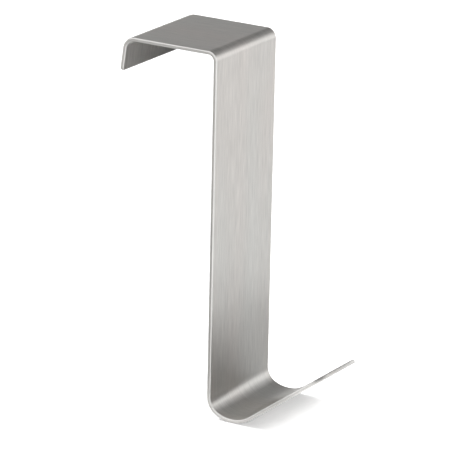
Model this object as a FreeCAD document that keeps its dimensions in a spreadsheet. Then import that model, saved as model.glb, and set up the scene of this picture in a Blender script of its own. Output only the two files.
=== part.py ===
# Over door hook: one strip of brushed stainless steel, bent three times.
#
# The strip is drawn as it hangs on a door, seen from its side. From the lip behind the door it runs
# over the door's top edge, down the shank on the door's front face, round the hook's bend and up the
# arm. The hook's bend is tight at its heel, by the shank, and wider in its cradle. The frame is +Z up, -Y towards the front, +X along the strip's width. The origin is the middle
# of the door's top edge: on the underside of the top plate, half-way across the gap for the door.
import FreeCAD, Part
import math
import os
import Sketcher

V = FreeCAD.Vector
Arc = Part.ArcOfCircle

NODE = "door_hook"

# Driving dimensions, in millimetres and degrees. Radii are the inside radii of the bends.
SIZES = {
    "strip_width": 40.0,
    "sheet_thickness": 1.4,
    "door_gap": 35.0,
    "lip_straight": 8.5,
    "lip_splay": 8.0,
    "lip_bend_radius": 3.3,
    "top_bend_radius": 2.2,
    "shank_straight": 121.5,
    "heel_radius": 6.0,
    "heel_turn": 66.0,
    "cradle_radius": 12.5,
    "cradle_turn": 60.0,
    "arm_straight": 29.0,
    "lip_corner_radius": 1.2,
    "tip_corner_radius": 12.0,
    "edge_break": 0.3,
}

NOTES = {
    "strip_width": "width of the strip",
    "sheet_thickness": "thickness of the sheet",
    "door_gap": "clear depth for the door, from the shank to the sharp inner corner of the lip",
    "lip_straight": "flat length of the lip behind the door",
    "lip_splay": "angle by which the lip leans away from the door, to lead it on",
    "lip_bend_radius": "inside radius of the bend between lip and top plate",
    "top_bend_radius": "inside radius of the bend between top plate and shank",
    "shank_straight": "flat length of the shank between its two bends",
    "heel_radius": "inside radius of the hook's bend where it leaves the shank",
    "heel_turn": "angle that this tighter part of the bend turns through",
    "cradle_radius": "inside radius of the hook's bend where the load lies",
    "cradle_turn": "angle that this wider part of the bend turns through",
    "arm_straight": "flat length of the arm, from the hook's bend to its tip",
    "lip_corner_radius": "radius of the two corners at the lip's end, seen on the strip's flat faces",
    "tip_corner_radius": "radius of the two corners at the arm's tip, seen on the strip's flat faces",
    "edge_break": "radius of the broken edges all round both faces",
}

# Points of a sketch element, and the sketch's own axes and origin, by their numbers.
FIRST, LAST, CENTRE = 1, 2, 3
X_AXIS, ORIGIN = -1, (-1, 1)

# Two points closer than this are the same point, in millimetres.
SAME_MM = 1e-3
# A face whose unit normal has less than this across the strip is one of the sheet's two faces.
SQUARE = 1e-6


def make_sheet(doc):
    """The spreadsheet of driving dimensions: name, value and what the value is."""
    sheet = doc.addObject("Spreadsheet::Sheet", "dimensions")
    for row, (alias, value) in enumerate(SIZES.items(), start=1):
        sheet.set(f"A{row}", alias)
        sheet.set(f"B{row}", str(value))
        sheet.setAlias(f"B{row}", alias)
        sheet.set(f"C{row}", NOTES[alias])
    doc.recompute()
    return sheet


def heading(angle_deg):
    """The unit vector of the sketch plane at an angle from its horizontal axis."""
    angle = math.radians(angle_deg)
    return V(math.cos(angle), math.sin(angle), 0)


def draw_face(sketch, start, angle, runs):
    """Draw one face of the strip as a chain of lines and tangent arcs.

    A run is ("line", length) or ("bend", radius, turn), with the turn positive to the left. Each
    element comes back as (its number, the point where it starts, the point where it ends).
    """
    chain = []
    point = start
    for kind, size, *turn in runs:
        if kind == "line":
            end = point + heading(angle) * size
            number = sketch.addGeometry(Part.LineSegment(point, end), False)
            chain.append((number, FIRST, LAST))
            point = end
            continue
        side = math.copysign(1, turn[0])
        centre = point + heading(angle + 90 * side) * size
        from_deg = angle - 90 * side
        to_deg = from_deg + turn[0]
        low, high = sorted((math.radians(from_deg), math.radians(to_deg)))
        circle = Part.Circle(centre, V(0, 0, 1), size)
        number = sketch.addGeometry(Arc(circle, low, high), False)
        chain.append((number, FIRST, LAST) if side > 0 else (number, LAST, FIRST))
        point = centre + heading(to_deg) * size
        angle += turn[0]
    return chain


def draw_strip(body, sheet):
    """The sketch of the bent strip's side, fully constrained by the driving dimensions."""
    plane = next(o for o in body.Origin.OriginFeatures if o.Role == "YZ_Plane")
    sketch = body.newObject("Sketcher::SketchObject", "strip_profile")
    sketch.AttachmentSupport = (plane, [""])
    sketch.MapMode = "FlatFace"

    thickness = sheet.sheet_thickness
    lip_turn = 90 - sheet.lip_splay
    lip_setback = sheet.lip_bend_radius * math.tan(math.radians(lip_turn / 2))
    plate_straight = sheet.door_gap - lip_setback - sheet.top_bend_radius
    lip_angle = 90 + sheet.lip_splay

    # Both faces are drawn from the lip's end to the arm's tip. The door lies to the left of the way.
    def runs(grow):
        return [
            ("line", sheet.lip_straight),
            ("bend", sheet.lip_bend_radius + grow, lip_turn),
            ("line", plate_straight),
            ("bend", sheet.top_bend_radius + grow, 90),
            ("line", sheet.shank_straight),
            ("bend", sheet.heel_radius + thickness - grow, -sheet.heel_turn),
            ("bend", sheet.cradle_radius + thickness - grow, -sheet.cradle_turn),
            ("line", sheet.arm_straight),
        ]

    lip_corner = V(sheet.door_gap / 2, 0, 0)
    door_start = lip_corner - heading(lip_angle) * (lip_setback + sheet.lip_straight)
    front_start = door_start + heading(lip_angle - 90) * thickness
    door_face = draw_face(sketch, door_start, lip_angle, runs(0))
    front_face = draw_face(sketch, front_start, lip_angle, runs(thickness))

    def end_point(element, which):
        number, first, last = element
        return sketch.getPoint(number, first if which == "start" else last)

    def close_end(which):
        ends = [end_point(chain[0 if which == "start" else -1], which) for chain in (door_face, front_face)]
        return sketch.addGeometry(Part.LineSegment(*ends), False)

    lip_end = close_end("start")
    arm_end = close_end("end")
    sharp_corner = sketch.addGeometry(Part.Point(lip_corner), True)

    def constrain(*args):
        return sketch.addConstraint(Sketcher.Constraint(*args))

    def drive(name, formula, *args):
        number = constrain(*args)
        sketch.renameConstraint(number, name)
        sketch.setExpression(f"Constraints.{name}", formula)

    # Bends run smoothly into the flats, and both faces of a bend share its centre.
    for chain in (door_face, front_face):
        for (before, _, last), (after, first, _) in zip(chain, chain[1:]):
            constrain("Tangent", before, last, after, first)
    for bend in (1, 3, 5, 6):
        constrain("Coincident", door_face[bend][0], CENTRE, front_face[bend][0], CENTRE)
    # The two faces of each flat are parallel, and the strip's ends are cut square.
    for flat in (0, 2, 4, 7):
        constrain("Parallel", door_face[flat][0], front_face[flat][0])
    for end, flat, which in ((lip_end, 0, FIRST), (arm_end, 7, LAST)):
        constrain("Coincident", end, FIRST, door_face[flat][0], which)
        constrain("Coincident", end, LAST, front_face[flat][0], which)
        constrain("Perpendicular", end, door_face[flat][0])
    # The plate lies on the horizontal axis and the shank hangs square below it.
    lip, lip_bend, plate, top_bend, shank, heel, cradle, arm = [element[0] for element in door_face]
    constrain("Horizontal", plate)
    constrain("PointOnObject", plate, LAST, X_AXIS)
    constrain("Vertical", shank)
    constrain("PointOnObject", sharp_corner, FIRST, lip)
    constrain("PointOnObject", sharp_corner, FIRST, X_AXIS)

    drive("thickness", "dimensions.sheet_thickness", "Distance", lip_end, thickness)
    drive("gap", "dimensions.door_gap", "DistanceX", shank, FIRST, sharp_corner, FIRST, sheet.door_gap)
    drive("half_gap", "dimensions.door_gap / 2", "DistanceX", shank, FIRST, *ORIGIN, sheet.door_gap / 2)
    drive("lip_length", "dimensions.lip_straight", "Distance", lip, sheet.lip_straight)
    drive("lip_turn", "90 deg - dimensions.lip_splay * 1 deg", "Angle", lip_bend, math.radians(lip_turn))
    drive("lip_radius", "dimensions.lip_bend_radius", "Radius", lip_bend, sheet.lip_bend_radius)
    drive("top_radius", "dimensions.top_bend_radius", "Radius", top_bend, sheet.top_bend_radius)
    drive("shank_length", "dimensions.shank_straight", "Distance", shank, sheet.shank_straight)
    drive("heel_radius", "dimensions.heel_radius", "Radius", front_face[5][0], sheet.heel_radius)
    drive("heel_turn", "dimensions.heel_turn * 1 deg", "Angle", heel, math.radians(sheet.heel_turn))
    drive("cradle_radius", "dimensions.cradle_radius", "Radius", front_face[6][0], sheet.cradle_radius)
    drive("cradle_turn", "dimensions.cradle_turn * 1 deg", "Angle", cradle, math.radians(sheet.cradle_turn))
    drive("arm_length", "dimensions.arm_straight", "Distance", arm, sheet.arm_straight)
    return sketch, lip_end, arm_end


def pad_strip(body, sketch):
    """The bent strip with plain edges, its width shared equally by both sides of the sketch."""
    pad = body.newObject("PartDesign::Pad", "bent_strip")
    pad.Profile = sketch
    pad.SideType = "Symmetric"
    pad.setExpression("Length", "dimensions.strip_width")
    return pad


def round_edges(body, base, picks, name, formula):
    """A fillet on edges, or on all edges of faces, of the feature before it, its radius bound to the sheet."""
    fillet = body.newObject("PartDesign::Fillet", name)
    fillet.Base = (base, picks)
    fillet.setExpression("Radius", formula)
    return fillet


def middle_of(sketch, line_number):
    """The middle of one of the sketch's lines, in the model."""
    line = sketch.Geometry[line_number]
    return sketch.Placement.multVec((line.StartPoint + line.EndPoint) / 2)


def is_at(place, end):
    """Whether a place lies over an end of the strip, wherever it is across the width."""
    return math.hypot(place.y - end.y, place.z - end.z) < SAME_MM


def corner_edges(shape, end):
    """The two short edges through the sheet at the corners of one end of the strip."""
    return [
        f"Edge{index}" for index, edge in enumerate(shape.Edges, start=1)
        if abs(edge.CenterOfMass.x) > SAME_MM and is_at(edge.CenterOfMass, end)
    ]


def cut_faces(shape, ends):
    """The faces through the sheet: its two sides, its two ends and the rounded corners between them."""
    found = []
    for index, face in enumerate(shape.Faces, start=1):
        u_low, u_high, v_low, v_high = face.ParameterRange
        normal = face.normalAt((u_low + u_high) / 2, (v_low + v_high) / 2)
        if abs(normal.x) > SQUARE or any(is_at(face.CenterOfMass, end) for end in ends):
            found.append(f"Face{index}")
    return found


def check(doc, body, sketch):
    """Stop before anything is written if an object failed or the strip isn't one sound solid."""
    for item in doc.Objects:
        if any(flag in item.State for flag in ("Invalid", "Error")):
            raise RuntimeError(f"{item.Label} did not build: {item.State}")
    if not sketch.FullyConstrained:
        raise RuntimeError("the profile is not fully constrained")
    shape = body.Shape
    if shape.isNull() or not shape.isValid() or len(shape.Solids) != 1:
        raise RuntimeError(f"{body.Label} is not one sound solid")


doc = FreeCAD.newDocument("over_door_hook")
sheet = make_sheet(doc)

body = doc.addObject("PartDesign::Body", NODE)
body.Label = NODE
sketch, lip_end, arm_end = draw_strip(body, sheet)
doc.recompute()
strip = pad_strip(body, sketch)
doc.recompute()
ends = [middle_of(sketch, line) for line in (lip_end, arm_end)]
shaped = strip
for end, name in zip(ends, ("lip_corner", "tip_corner")):
    edges = corner_edges(shaped.Shape, end)
    shaped = round_edges(body, shaped, edges, f"{name}s", f"dimensions.{name}_radius")
    doc.recompute()
round_edges(
    body, shaped, cut_faces(shaped.Shape, ends), "broken_edges",
    "min(dimensions.edge_break; 0.4 * dimensions.sheet_thickness)",
)
doc.recompute()

check(doc, body, sketch)
os.makedirs("parts", exist_ok=True)
body.Shape.exportStep(f"parts/{body.Label}.step")

box = body.Shape.optimalBoundingBox(False, False)
print(f"{body.Label}: {body.Shape.Volume:.1f} mm3, {len(body.Shape.Faces)} faces")
print(f"width {box.XLength:.2f} mm, depth {box.YLength:.2f} mm, height {box.ZLength:.2f} mm")
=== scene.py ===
# Over door hook: the looks of the strip of brushed stainless steel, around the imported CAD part.
#
# The strip is made as it is in the workshop: a flat blank is cut to its outline, its edges are
# broken, and then it is folded bend by bend. Its UV map is the flat blank, so the brushing runs
# along the strip round every bend. Lengths are in metres, in the part's own frame: +Z up, -Y to
# the front, +X across the strip, and the door's top edge at the origin.
import math

import bmesh
import bpy
from mathutils import Matrix, Vector


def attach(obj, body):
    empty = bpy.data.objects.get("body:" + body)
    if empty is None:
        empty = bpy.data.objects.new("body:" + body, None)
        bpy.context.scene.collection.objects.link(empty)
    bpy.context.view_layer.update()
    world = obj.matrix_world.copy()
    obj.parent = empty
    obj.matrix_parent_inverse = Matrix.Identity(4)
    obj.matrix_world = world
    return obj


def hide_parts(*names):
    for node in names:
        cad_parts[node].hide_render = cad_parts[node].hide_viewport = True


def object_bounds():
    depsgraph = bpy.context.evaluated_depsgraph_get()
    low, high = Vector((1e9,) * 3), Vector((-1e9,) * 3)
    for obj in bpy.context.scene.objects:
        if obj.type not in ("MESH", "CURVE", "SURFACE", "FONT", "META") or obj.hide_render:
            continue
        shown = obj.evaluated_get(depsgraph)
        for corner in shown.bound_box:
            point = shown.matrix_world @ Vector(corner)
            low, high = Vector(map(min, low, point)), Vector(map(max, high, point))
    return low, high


MM = 0.001

# The strip's sizes, as the part's source gives them. Radii are the inside radii of the bends.
WIDTH = 40.0 * MM
THICKNESS = 1.4 * MM
DOOR_GAP = 35.0 * MM
LIP_STRAIGHT = 8.5 * MM
LIP_SPLAY = math.radians(8.0)
LIP_RADIUS = 3.3 * MM
TOP_RADIUS = 2.2 * MM
SHANK_STRAIGHT = 121.5 * MM
HEEL_RADIUS = 6.0 * MM
HEEL_TURN = math.radians(66.0)
CRADLE_RADIUS = 12.5 * MM
CRADLE_TURN = math.radians(60.0)
ARM_STRAIGHT = 29.0 * MM
LIP_CORNER = 1.2 * MM
TIP_CORNER = 12.0 * MM
# A little more than in the part's source, where it is 0.3 mm: the light edge lines are this wide.
EDGE_BREAK = 0.42 * MM

# How finely the rounded forms are divided: a fold's turn, and the steps of each corner and edge.
FOLD_TURN = math.radians(4.0)
LIP_CORNER_STEPS = 6
TIP_CORNER_STEPS = 24
EDGE_STEPS = 4
# Two places nearer than this are the same.
HAIR = 1e-6


def strip_runs():
    """The strip from the lip's end to the arm's tip. A flat has its length and no turn. A bend has
    its radius and its turn, which is positive towards the door."""
    lip_turn = math.pi / 2 - LIP_SPLAY
    plate = DOOR_GAP - LIP_RADIUS * math.tan(lip_turn / 2) - TOP_RADIUS
    return [
        ("lip", LIP_STRAIGHT, 0.0),
        ("lip_bend", LIP_RADIUS, lip_turn),
        ("plate", plate, 0.0),
        ("top_bend", TOP_RADIUS, math.pi / 2),
        ("shank", SHANK_STRAIGHT, 0.0),
        ("heel", HEEL_RADIUS, -HEEL_TURN),
        ("cradle", CRADLE_RADIUS, -CRADLE_TURN),
        ("arm", ARM_STRAIGHT, 0.0),
    ]


def folds():
    """The small folds of the flat blank, each with its start, its length, its angle and how far its
    axis lies off the sheet's middle. The second value is the blank's whole length."""
    found = []
    along = 0.0
    for _, size, turn in strip_runs():
        if turn == 0.0:
            along += size
            continue
        middle_radius = size + THICKNESS / 2
        count = math.ceil(abs(turn) / FOLD_TURN)
        length = middle_radius * abs(turn) / count
        for _ in range(count):
            found.append((along, length, turn / count, math.copysign(middle_radius, turn)))
            along += length
    return found, along


def cut_blank(bm, length):
    """The flat blank, with rounded corners and broken edges, which are marked for a painted
    highlight.
    """
    edge_highlight_layer = bm.faces.layers.float.new("painted_edge_highlight")
    bmesh.ops.create_grid(bm, x_segments=1, y_segments=1, size=0.5)
    bmesh.ops.scale(bm, vec=(WIDTH, length, 1.0), verts=bm.verts)
    bmesh.ops.translate(bm, vec=(0.0, length / 2, THICKNESS / 2), verts=bm.verts)
    ends = ((0.0, LIP_CORNER, LIP_CORNER_STEPS), (length, TIP_CORNER, TIP_CORNER_STEPS))
    for place, radius, steps in ends:
        corners = [v for v in bm.verts if abs(v.co.y - place) < HAIR]
        bmesh.ops.bevel(
            bm, geom=corners, offset=radius, segments=steps, profile=0.5,
            affect="VERTICES", material=-1,
        )
    made = bmesh.ops.extrude_face_region(bm, geom=bm.faces[:])
    lower = [item for item in made["geom"] if isinstance(item, bmesh.types.BMVert)]
    bmesh.ops.translate(bm, vec=(0.0, 0.0, -THICKNESS), verts=lower)
    bmesh.ops.recalc_face_normals(bm, faces=bm.faces)
    rim = [e for e in bm.edges if abs(e.verts[0].co.z - e.verts[1].co.z) < HAIR]
    broken = bmesh.ops.bevel(
        bm, geom=rim, offset=EDGE_BREAK, segments=EDGE_STEPS, profile=0.5,
        affect="EDGES", material=-1,
    )
    # The broken edges are marked here for the painted highlight, a lighter base colour in the
    # material.
    for face in broken["faces"]:
        face[edge_highlight_layer] = 1.0


def map_blank(bm):
    """The UV map: across and along the flat blank, in metres, carried round the edges."""
    layer = bm.loops.layers.uv.new("blank")
    for face in bm.faces:
        for loop in face.loops:
            place = loop.vert.co
            loop[layer].uv = (place.x + place.z, place.y)


def fold_blank(bm, fold_list):
    """Fold from the tip back to the lip. What lies beyond a fold moves up to the fold's start and
    turns about its axis."""
    for start, length, _, _ in fold_list:
        for place in (start, start + length):
            bmesh.ops.bisect_plane(
                bm, geom=bm.verts[:] + bm.edges[:] + bm.faces[:], dist=HAIR,
                plane_co=(0.0, place, 0.0), plane_no=(0.0, 1.0, 0.0),
            )
    along = {v: v.co.y for v in bm.verts}
    for start, length, angle, offset in reversed(fold_list):
        beyond = [v for v, place in along.items() if place > start + length - HAIR]
        bmesh.ops.translate(bm, vec=(0.0, -length, 0.0), verts=beyond)
        bmesh.ops.rotate(
            bm, cent=(0.0, start, offset), matrix=Matrix.Rotation(angle, 3, "X"), verts=beyond,
        )


def hang_on_door(bm):
    """Turn the folded strip upright and bring the lip's sharp inner corner to its place."""
    heading = math.pi / 2 + LIP_SPLAY
    setback = LIP_RADIUS * math.tan((math.pi / 2 - LIP_SPLAY) / 2)
    run = LIP_STRAIGHT + setback
    middle = THICKNESS / 2
    start = Vector((
        0.0,
        DOOR_GAP / 2 - run * math.cos(heading) + middle * math.sin(heading),
        -run * math.sin(heading) - middle * math.cos(heading),
    ))
    bmesh.ops.rotate(bm, cent=(0, 0, 0), matrix=Matrix.Rotation(heading, 3, "X"), verts=bm.verts)
    bmesh.ops.translate(bm, vec=start, verts=bm.verts)


def make_hook_strip(material):
    fold_list, length = folds()
    bm = bmesh.new()
    cut_blank(bm, length)
    map_blank(bm)
    fold_blank(bm, fold_list)
    hang_on_door(bm)
    for face in bm.faces:
        face.smooth = True
    mesh = bpy.data.meshes.new("hook_strip")
    bm.to_mesh(mesh)
    bm.free()
    mesh.materials.append(material)
    strip = bpy.data.objects.new("hook_strip", mesh)
    bpy.context.scene.collection.objects.link(strip)
    weighted = strip.modifiers.new("even_shading", "WEIGHTED_NORMAL")
    weighted.weight = 50
    weighted.keep_sharp = False
    return strip


# The brushing's patterns: name, repeats per metre across and along the strip, detail, roughness.
BRUSH_PATTERNS = (
    ("Lines", (2600.0, 105.0), 2.0, 0.6),
    ("Bands", (420.0, 12.0), 2.0, 0.5),
    ("Drift", (55.0, 11.0), 1.0, 0.4),
)
# How strong the fine lines and the broad bands are, and how far together they swing the steel's
# brightness and its roughness.
LINES_STRENGTH = 2.2
BANDS_STRENGTH = 0.5
SHADE_SWING = 0.22
ROUGHNESS_SWING = 0.12
# The fine lines also stand up and down a little.
BUMP_STRENGTH = 0.06
BUMP_HEIGHT = 0.05 * MM
# The steel drifts between a warm and a cool grey, and its broken edges get a painted highlight: a
# lighter base colour there.
STEEL_WARM = (0.636, 0.598, 0.572)
STEEL_COOL = (0.590, 0.595, 0.576)
STEEL_EDGE_HIGHLIGHT = (0.75, 0.74, 0.72)
# Reflections are soft, and smear across the brushed lines.
BRUSHED_ROUGHNESS = 0.39
BRUSHED_SMEAR = 0.6


def node(tree, kind, place, **values):
    made = tree.nodes.new(kind)
    made.location = place
    for name, value in values.items():
        setattr(made, name, value)
    return made


def brushing_group():
    """The brushing on the blank: fine lines and broad bands, both centred on 0 and as strong as
    asked, and a faint drift from 0 to 1."""
    group = bpy.data.node_groups.new("brushed_lines", "ShaderNodeTree")
    for name, kind in (("Blank", "Vector"), ("Lines", "Float"), ("Bands", "Float")):
        group.interface.new_socket(name=name, in_out="INPUT", socket_type="NodeSocket" + kind)
    for name, _, _, _ in BRUSH_PATTERNS:
        group.interface.new_socket(name=name, in_out="OUTPUT", socket_type="NodeSocketFloat")
    source = node(group, "NodeGroupInput", (-900, 0))
    result = node(group, "NodeGroupOutput", (700, 0))

    for row, (name, repeats, detail, roughness) in enumerate(BRUSH_PATTERNS):
        drop = -300 * row
        stretch = node(group, "ShaderNodeMapping", (-650, drop))
        stretch.inputs["Scale"].default_value = (*repeats, 1.0)
        noise = node(group, "ShaderNodeTexNoise", (-400, drop), noise_dimensions="2D")
        noise.inputs["Scale"].default_value = 1.0
        noise.inputs["Detail"].default_value = detail
        noise.inputs["Roughness"].default_value = roughness
        group.links.new(source.outputs["Blank"], stretch.inputs["Vector"])
        group.links.new(stretch.outputs["Vector"], noise.inputs["Vector"])
        if name == "Drift":
            group.links.new(noise.outputs["Fac"], result.inputs[name])
            continue
        centred = node(group, "ShaderNodeMath", (-150, drop), operation="SUBTRACT")
        centred.inputs[1].default_value = 0.5
        scaled = node(group, "ShaderNodeMath", (50, drop), operation="MULTIPLY")
        group.links.new(noise.outputs["Fac"], centred.inputs[0])
        group.links.new(centred.outputs[0], scaled.inputs[0])
        group.links.new(source.outputs[name], scaled.inputs[1])
        group.links.new(scaled.outputs[0], result.inputs[name])
    return group


def brushed_steel():
    material = bpy.data.materials.new("brushed_strip")
    material.use_nodes = True
    tree = material.node_tree
    shader = tree.nodes["Principled BSDF"]
    shader.inputs["Metallic"].default_value = 1.0
    shader.inputs["Anisotropic"].default_value = BRUSHED_SMEAR
    blank = node(tree, "ShaderNodeUVMap", (-1300, 0), uv_map="blank")
    across = node(tree, "ShaderNodeTangent", (-300, -500), direction_type="UV_MAP", uv_map="blank")
    tree.links.new(across.outputs["Tangent"], shader.inputs["Tangent"])

    brushing = node(tree, "ShaderNodeGroup", (-1050, 0), node_tree=brushing_group())
    brushing.inputs["Lines"].default_value = LINES_STRENGTH
    brushing.inputs["Bands"].default_value = BANDS_STRENGTH
    tree.links.new(blank.outputs["UV"], brushing.inputs["Blank"])
    both = node(tree, "ShaderNodeMath", (-900, 0), operation="ADD")
    tree.links.new(brushing.outputs["Lines"], both.inputs[0])
    tree.links.new(brushing.outputs["Bands"], both.inputs[1])

    tint = node(tree, "ShaderNodeMix", (-750, 250), data_type="RGBA")
    tint.inputs["A"].default_value = (*STEEL_COOL, 1.0)
    tint.inputs["B"].default_value = (*STEEL_WARM, 1.0)
    tree.links.new(brushing.outputs["Drift"], tint.inputs["Factor"])
    shade = node(tree, "ShaderNodeMath", (-750, 0), operation="MULTIPLY_ADD")
    shade.inputs[1].default_value = SHADE_SWING
    shade.inputs[2].default_value = 1.0
    tree.links.new(both.outputs[0], shade.inputs[0])
    toned = node(tree, "ShaderNodeVectorMath", (-450, 150), operation="SCALE")
    tree.links.new(tint.outputs["Result"], toned.inputs[0])
    tree.links.new(shade.outputs[0], toned.inputs["Scale"])

    # Painted highlight: the broken edges' base colour is made lighter, standing in for the light
    # lines along the edges.
    edge = node(tree, "ShaderNodeAttribute", (-450, 400), attribute_name="painted_edge_highlight")
    with_edge_highlight = node(tree, "ShaderNodeMix", (-200, 250), data_type="RGBA")
    with_edge_highlight.inputs["B"].default_value = (*STEEL_EDGE_HIGHLIGHT, 1.0)
    tree.links.new(edge.outputs["Fac"], with_edge_highlight.inputs["Factor"])
    tree.links.new(toned.outputs["Vector"], with_edge_highlight.inputs["A"])
    tree.links.new(with_edge_highlight.outputs["Result"], shader.inputs["Base Color"])

    rough = node(tree, "ShaderNodeMath", (-450, -100), operation="MULTIPLY_ADD")
    rough.inputs[1].default_value = ROUGHNESS_SWING
    rough.inputs[2].default_value = BRUSHED_ROUGHNESS
    tree.links.new(both.outputs[0], rough.inputs[0])
    tree.links.new(rough.outputs[0], shader.inputs["Roughness"])

    bump = node(tree, "ShaderNodeBump", (-300, -300))
    bump.inputs["Strength"].default_value = BUMP_STRENGTH
    bump.inputs["Distance"].default_value = BUMP_HEIGHT
    tree.links.new(brushing.outputs["Lines"], bump.inputs["Height"])
    tree.links.new(bump.outputs["Normal"], shader.inputs["Normal"])
    return material


# The floor: a pale colour that the lamps light, and a glow that lifts it to white where the
# camera or glass shows it, and a little in reflections.
FLOOR_SIZE = 12.0
FLOOR_COLOUR = 0.75
FLOOR_GLOW = 0.49
FLOOR_GLOW_REFLECTED = 0.04
# The white room all round: how bright it is seen, directly and in reflections, and how much of
# that lights the floor.
ROOM_SEEN = 1.0
ROOM_LIGHT = 0.15

# Cards shape what the steel reflects. These stand round the hook, with their angles taken from
# the front (-Y) towards +X: name, middle angle, angle covered, distance, heights of its bottom and
# its top above the floor, brightness, where 1 is white.
STANDING_CARDS = (
    ("right_softbox", 65.0, 50.0, 1.2, 0.0, 0.64, 1.40),
    ("back_card", 120.0, 60.0, 1.3, 0.0, 0.45, 0.82),
    ("back_upper_card", 120.0, 60.0, 1.3, 0.45, 0.73, 0.55),
    ("front_softbox", 12.0, 36.0, 1.3, 0.0, 0.73, 1.20),
)
# These lie flat: name, middle (x, y), height above the floor, size, brightness.
CEILING = 0.89
ON_FLOOR = 0.001
FLAT_CARDS = (
    ("right_ceiling_card", (0.71, 0.0), CEILING, (1.42, 2.8), 0.08),
    ("left_ceiling_softbox", (-0.65, 0.0), CEILING, (1.3, 2.6), 1.30),
    # floor_card is painted shade: a grey sheet, seen only in reflections, standing in for the
    # floor's shade beside the foot.
    ("floor_card", (0.062, -0.068), ON_FLOOR, (0.080, 0.095), 0.62),
    ("front_floor_softbox", (-0.27, -0.37), ON_FLOOR, (0.54, 0.62), 1.30),
    ("left_floor_card", (-0.33, 0.17), ON_FLOOR, (0.58, 0.40), 0.50),
    ("back_floor_card", (0.28, 0.41), ON_FLOOR, (0.58, 0.80), 0.55),
)
# A black flag stands beside the door gap and darkens what the lip's inside reflects.
GAP_FLAG_SIZE = (0.032, 0.045)
GAP_FLAG_PLACE = (0.030, 0.001, -0.0235)
GAP_FLAG_LEVEL = 0.0

# Two broad lamps far off, in front and behind, so that only the floor hidden from both is dark.
LAMPS = (("front_lamp", (0.0, -0.59, 0.68)), ("back_lamp", (0.0, 0.61, 0.68)))
LAMP_SPREAD = math.radians(18.0)
LAMP_STRENGTH = 2.35


def bare_material(name):
    """A material whose output is still to be linked."""
    material = bpy.data.materials.new(name)
    material.use_nodes = True
    tree = material.node_tree
    tree.nodes.remove(tree.nodes["Principled BSDF"])
    return material, tree, tree.nodes["Material Output"].inputs["Surface"]


def floor_material():
    """The lit part of the floor holds the shadow, and the glow is added to it."""
    material, tree, surface = bare_material("studio_floor")
    lit = node(tree, "ShaderNodeBsdfDiffuse", (0, 100))
    lit.inputs["Color"].default_value = (FLOOR_COLOUR, FLOOR_COLOUR, FLOOR_COLOUR, 1.0)
    glow = node(tree, "ShaderNodeEmission", (0, -100))
    path = node(tree, "ShaderNodeLightPath", (-900, -150))
    seen = node(tree, "ShaderNodeMath", (-650, -100), operation="MAXIMUM")
    direct = node(tree, "ShaderNodeMath", (-450, -100), operation="MULTIPLY")
    direct.inputs[1].default_value = FLOOR_GLOW
    amount = node(tree, "ShaderNodeMath", (-200, -100), operation="MULTIPLY_ADD")
    amount.inputs[1].default_value = FLOOR_GLOW_REFLECTED
    tree.links.new(path.outputs["Is Camera Ray"], seen.inputs[0])
    tree.links.new(path.outputs["Is Transmission Ray"], seen.inputs[1])
    tree.links.new(seen.outputs[0], direct.inputs[0])
    tree.links.new(path.outputs["Is Glossy Ray"], amount.inputs[0])
    tree.links.new(direct.outputs[0], amount.inputs[2])
    tree.links.new(amount.outputs[0], glow.inputs["Strength"])
    total = node(tree, "ShaderNodeAddShader", (200, 0))
    tree.links.new(lit.outputs["BSDF"], total.inputs[0])
    tree.links.new(glow.outputs["Emission"], total.inputs[1])
    tree.links.new(total.outputs["Shader"], surface)
    return material


def card_material(name, level):
    material, tree, surface = bare_material(name)
    glow = node(tree, "ShaderNodeEmission", (0, 0))
    glow.inputs["Strength"].default_value = level
    tree.links.new(glow.outputs["Emission"], surface)
    return material


def stage_panel(name, size, place, material):
    """A flat panel of the studio, which isn't part of the hook. Its place is in its mesh."""
    bm = bmesh.new()
    bmesh.ops.create_grid(bm, x_segments=1, y_segments=1, size=0.5)
    bmesh.ops.scale(bm, vec=(*size, 1.0), verts=bm.verts)
    bmesh.ops.transform(bm, matrix=place, verts=bm.verts)
    mesh = bpy.data.meshes.new(name)
    bm.to_mesh(mesh)
    bm.free()
    mesh.materials.append(material)
    panel = bpy.data.objects.new(name, mesh)
    bpy.context.scene.collection.objects.link(panel)
    return panel


def reflection_card(name, size, place, level):
    """A panel that only reflections show: it doesn't light the floor, and it casts no shadow."""
    card = stage_panel(name, size, place, card_material(name, level))
    card.visible_camera = False
    card.visible_diffuse = False
    card.visible_shadow = False


def standing(outwards, centre):
    """Where an upright card is put, with its face to the hook and its long side level."""
    facing = (-Vector(outwards)).to_track_quat("Z", "Y").to_matrix().to_4x4()
    return Matrix.Translation(centre) @ facing


def make_studio(floor_height):
    ground = Matrix.Translation((0.0, 0.0, floor_height))
    stage_panel("floor", (FLOOR_SIZE, FLOOR_SIZE), ground, floor_material())
    for name, middle, covered, distance, bottom, top, level in STANDING_CARDS:
        angle = math.radians(middle)
        width = 2 * distance * math.tan(math.radians(covered) / 2)
        outwards = Vector((math.sin(angle), -math.cos(angle), 0.0))
        centre = outwards * distance + Vector((0.0, 0.0, floor_height + (top + bottom) / 2))
        reflection_card(name, (width, top - bottom), standing(outwards, centre), level)
    for name, middle, height, size, level in FLAT_CARDS:
        place = Matrix.Translation((*middle, floor_height + height))
        reflection_card(name, size, place, level)
    beside_gap = standing((1.0, 0.0, 0.0), GAP_FLAG_PLACE)
    reflection_card("gap_flag", GAP_FLAG_SIZE, beside_gap, GAP_FLAG_LEVEL)


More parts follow.
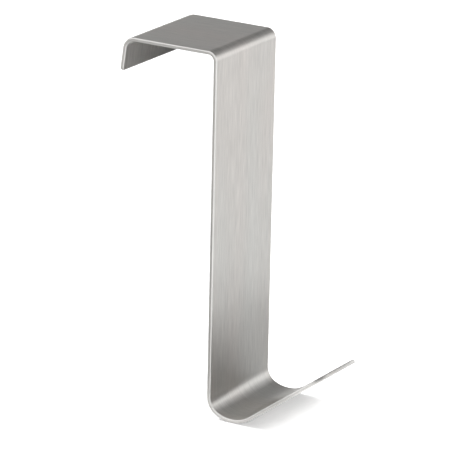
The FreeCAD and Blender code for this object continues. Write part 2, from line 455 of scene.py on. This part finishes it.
def make_room():
    """The room behind the cards: plain white all round, which lights the floor only a little."""
    world = bpy.data.worlds.new("studio_room")
    bpy.context.scene.world = world
    world.use_nodes = True
    tree = world.node_tree
    path = node(tree, "ShaderNodeLightPath", (-900, 0))
    mirrored = node(tree, "ShaderNodeMath", (-650, 0), operation="MAXIMUM")
    seen = node(tree, "ShaderNodeMath", (-450, 0), operation="MAXIMUM")
    strength = node(tree, "ShaderNodeMath", (-250, 0), operation="MULTIPLY_ADD")
    strength.inputs[1].default_value = ROOM_SEEN - ROOM_LIGHT
    strength.inputs[2].default_value = ROOM_LIGHT
    tree.links.new(path.outputs["Is Glossy Ray"], mirrored.inputs[0])
    tree.links.new(path.outputs["Is Transmission Ray"], mirrored.inputs[1])
    tree.links.new(path.outputs["Is Camera Ray"], seen.inputs[0])
    tree.links.new(mirrored.outputs[0], seen.inputs[1])
    tree.links.new(seen.outputs[0], strength.inputs[0])
    background = tree.nodes["Background"]
    background.inputs["Color"].default_value = (1.0, 1.0, 1.0, 1.0)
    tree.links.new(strength.outputs[0], background.inputs["Strength"])


def far_softbox(name, place):
    """A lamp on the line from its place to the origin. It lights the whole floor evenly, with soft
    shadows, and the steel doesn't mirror it."""
    lamp = bpy.data.lights.new(name, "SUN")
    lamp.angle = LAMP_SPREAD
    lamp.energy = LAMP_STRENGTH
    holder = bpy.data.objects.new(name, lamp)
    holder.location = place
    holder.rotation_euler = (-Vector(place)).to_track_quat("-Z", "Y").to_euler()
    holder.visible_glossy = False
    bpy.context.scene.collection.objects.link(holder)


# The camera: where it looks, from which side, how far away, and how it is rolled. Its focal length
# is in pixels of the photograph, which is PHOTO_PX wide.
AIM = Vector((8.454, -10.66, -72.98)) * MM
AZIMUTH = math.radians(-59.113)
ELEVATION = math.radians(17.724)
ROLL = math.radians(1.253)
DISTANCE = 1376.7 * MM
FOCAL_PX = 3887.3
PHOTO_PX = 470
SENSOR_MM = 36.0
FAR_CLIP = 50.0


def make_camera():
    data = bpy.data.cameras.new("camera")
    data.sensor_width = SENSOR_MM
    data.lens = FOCAL_PX / PHOTO_PX * SENSOR_MM
    data.clip_end = FAR_CLIP
    camera = bpy.data.objects.new("camera", data)
    towards = Vector((
        math.sin(AZIMUTH) * math.cos(ELEVATION),
        -math.cos(AZIMUTH) * math.cos(ELEVATION),
        math.sin(ELEVATION),
    ))
    place = Matrix.Translation(AIM + towards * DISTANCE)
    level = (-towards).to_track_quat("-Z", "Y").to_matrix().to_4x4()
    camera.matrix_world = place @ level @ Matrix.Rotation(ROLL, 4, "Z")
    bpy.context.scene.collection.objects.link(camera)
    bpy.context.scene.camera = camera


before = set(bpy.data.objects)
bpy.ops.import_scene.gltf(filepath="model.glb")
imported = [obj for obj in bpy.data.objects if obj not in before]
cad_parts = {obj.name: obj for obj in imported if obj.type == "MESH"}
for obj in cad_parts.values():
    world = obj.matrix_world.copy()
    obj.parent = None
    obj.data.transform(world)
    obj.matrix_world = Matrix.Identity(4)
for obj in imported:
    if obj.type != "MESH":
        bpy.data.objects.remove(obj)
cad_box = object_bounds()
bpy.context.scene.view_settings.view_transform = "Standard"

strip = make_hook_strip(brushed_steel())
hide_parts("door_hook")
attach(strip, "root")

# The hook stands on the floor, as in the photograph.
make_studio(cad_box[0][2])
make_room()
for name, place in LAMPS:
    far_softbox(name, place)
make_camera()
